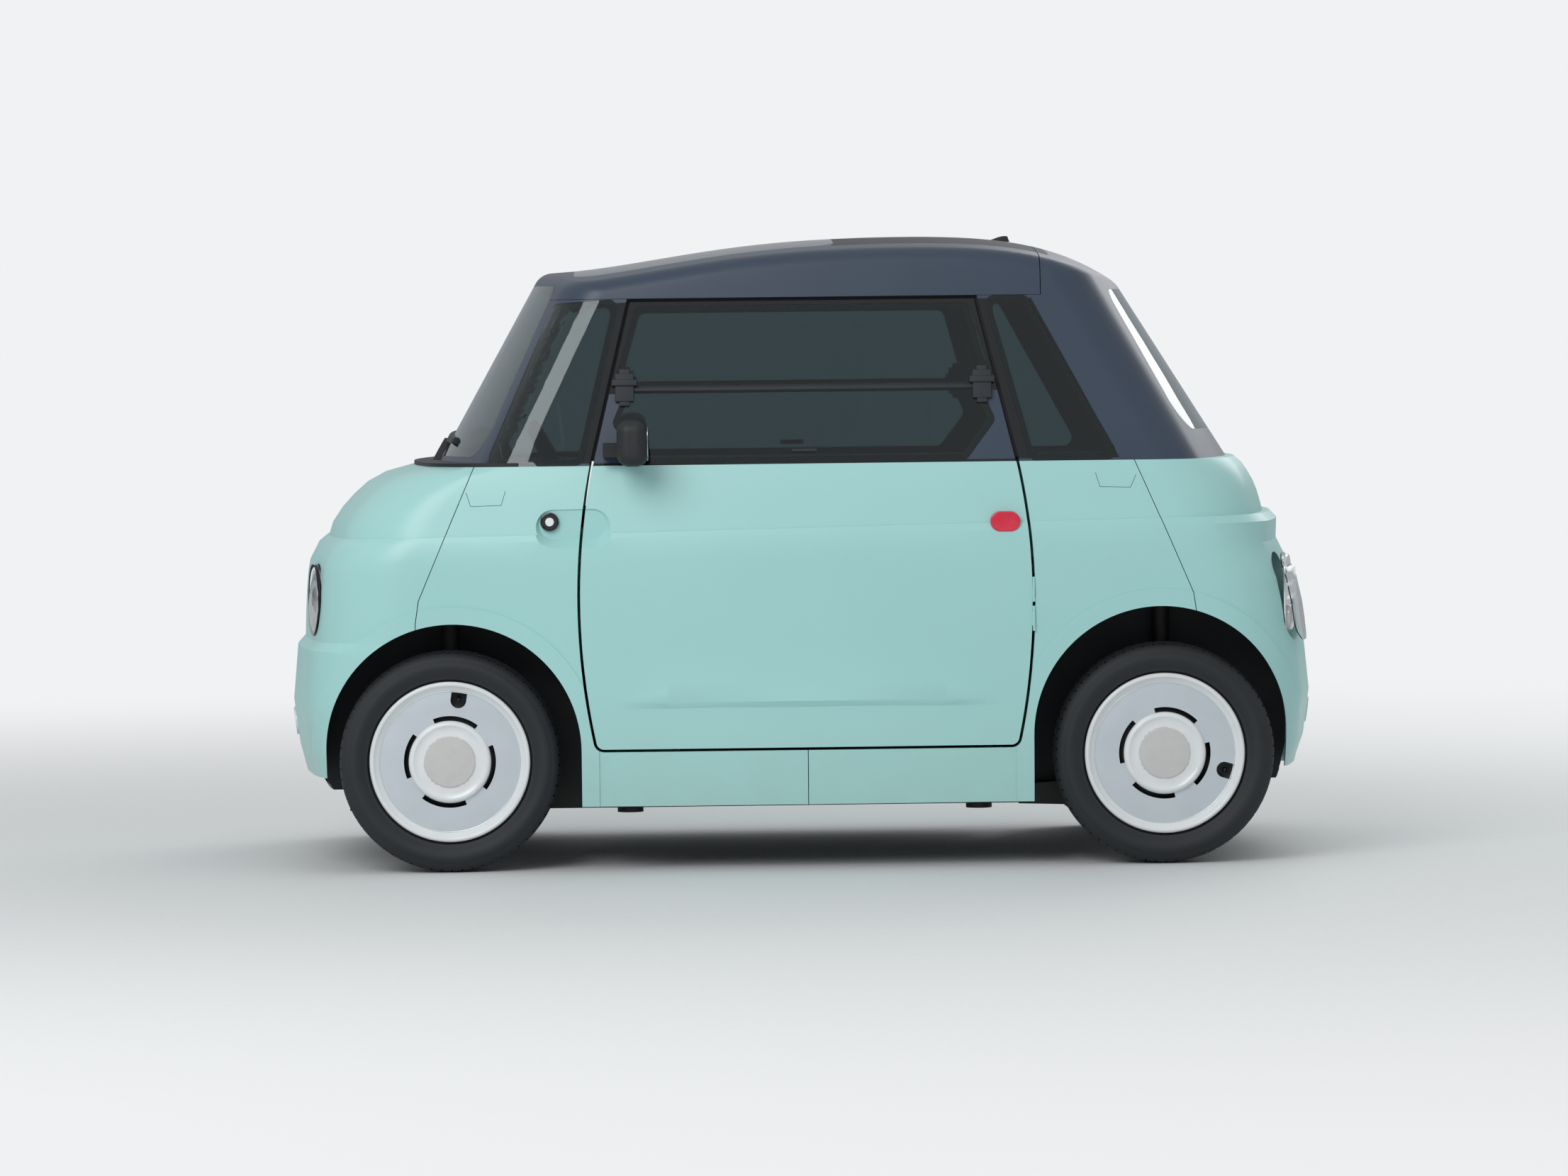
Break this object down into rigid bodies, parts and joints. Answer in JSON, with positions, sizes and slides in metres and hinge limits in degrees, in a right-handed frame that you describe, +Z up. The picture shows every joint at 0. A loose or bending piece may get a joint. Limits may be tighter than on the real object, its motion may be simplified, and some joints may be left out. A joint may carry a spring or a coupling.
{
  "type": "electric microcar",
  "caption": "Small two-seat electric car with pale green plastic panels, a dark glasshouse, doors hinged at opposite ends, steered front wheels and round wheel covers.",
  "frame": {"origin": "on the ground under the middle of the body", "axes": "+X forward along the car, +Y to the car's left, +Z up"},
  "size_m": [2.5376, 1.634, 1.5303],
  "materials": {
    "mint": "satin",
    "frame_grey": "satin",
    "tinted_glass": "clear",
    "lamp_lens": "clear",
    "black_plastic": "matt",
    "chassis_steel": "satin",
    "battery_case": "matt",
    "drive_case": "cast",
    "seat_fabric": "woven",
    "badge_red": "gloss",
    "tyre": "matt",
    "wheel_white": "satin"
  },
  "bodies": {
    "car": {"front_panel": "mint", "rear_panel": "mint", "corner_panel_front_left": "mint", "corner_panel_front_right": "mint", "corner_panel_rear_left": "mint", "corner_panel_rear_right": "mint", "windscreen_frame": "frame_grey", "roof_frame": "frame_grey", "rear_frame": "frame_grey", "windscreen": "tinted_glass", "rear_window": "tinted_glass", "roof_glass": "tinted_glass", "front_quarter_glass": "tinted_glass", "rear_quarter_glass": "tinted_glass", "headlamps": "lamp_lens", "tail_lamps": "lamp_lens", "bumper_pads": "mint", "lock_buttons": "black_plastic", "cowl": "black_plastic", "wiper": "black_plastic", "wheel_liners": "black_plastic", "floor_pan": "black_plastic", "ladder_frame": "chassis_steel", "cross_members": "chassis_steel", "battery": "battery_case", "drive_unit": "drive_case", "front_suspension": "chassis_steel", "rear_axle": "chassis_steel", "dashboard": "black_plastic", "steering_column": "black_plastic", "seat_shells": "black_plastic", "seat_pads": "seat_fabric", "rear_shelf": "black_plastic"},
    "left_door": {"door_left": "mint", "door_frame_left": "frame_grey", "door_glass_left": "tinted_glass", "door_badge_left": "badge_red", "mirror_left": "frame_grey"},
    "left_knuckle": {"knuckle_left": "chassis_steel"},
    "front_left_wheel": {"tyre_front_left": "tyre", "wheel_front_left": "chassis_steel", "cover_front_left": "wheel_white"},
    "rear_left_wheel": {"tyre_rear_left": "tyre", "wheel_rear_left": "chassis_steel", "cover_rear_left": "wheel_white"},
    "right_door": {"door_right": "mint", "door_frame_right": "frame_grey", "door_glass_right": "tinted_glass", "door_badge_right": "badge_red", "mirror_right": "frame_grey"},
    "right_knuckle": {"knuckle_right": "chassis_steel"},
    "front_right_wheel": {"tyre_front_right": "tyre", "wheel_front_right": "chassis_steel", "cover_front_right": "wheel_white"},
    "rear_right_wheel": {"tyre_rear_right": "tyre", "wheel_rear_right": "chassis_steel", "cover_rear_right": "wheel_white"},
    "wheel_for_steering": {"steering_wheel": "black_plastic"}
  },
  "joints": [
    {"name": "left_door_hinge", "type": "hinge", "parent": "car", "child": "left_door", "pos_m": [-0.5476, 0.693, 0.6], "axis": [0, 0, 1], "range_deg": [0, 75]},
    {"name": "right_door_hinge", "type": "hinge", "parent": "car", "child": "right_door", "pos_m": [0.5476, -0.693, 0.6], "axis": [0, 0, 1], "range_deg": [0, 75]},
    {"name": "left_steering", "type": "hinge", "parent": "car", "child": "left_knuckle", "pos_m": [0.864, 0.526, 0.165], "axis": [0, -0.1761, 0.9844], "range_deg": [-28, 28]},
    {"name": "right_steering", "type": "hinge", "parent": "car", "child": "right_knuckle", "pos_m": [0.864, -0.526, 0.165], "axis": [0, 0.1761, 0.9844], "range_deg": [-28, 28]},
    {"name": "steering_wheel_turn", "type": "hinge", "parent": "car", "child": "wheel_for_steering", "pos_m": [0.575, 0.3, 0.92], "axis": [-0.8829, 0, 0.4695], "range_deg": [-450, 450]},
    {"name": "front_left_wheel_spin", "type": "hinge", "parent": "left_knuckle", "child": "front_left_wheel", "pos_m": [0.864, 0.585, 0.268], "axis": [0, 1, 0], "continuous": true},
    {"name": "front_right_wheel_spin", "type": "hinge", "parent": "right_knuckle", "child": "front_right_wheel", "pos_m": [0.864, -0.585, 0.268], "axis": [0, 1, 0], "continuous": true},
    {"name": "rear_left_wheel_spin", "type": "hinge", "parent": "car", "child": "rear_left_wheel", "pos_m": [-0.864, 0.585, 0.268], "axis": [0, 1, 0], "continuous": true},
    {"name": "rear_right_wheel_spin", "type": "hinge", "parent": "car", "child": "rear_right_wheel", "pos_m": [-0.864, -0.585, 0.268], "axis": [0, 1, 0], "continuous": true}
  ],
  "couplings": [
    {"joint": "right_steering", "follows": "left_steering", "ratio": 1},
    {"joint": "steering_wheel_turn", "follows": "left_steering", "ratio": 16}
  ]
}
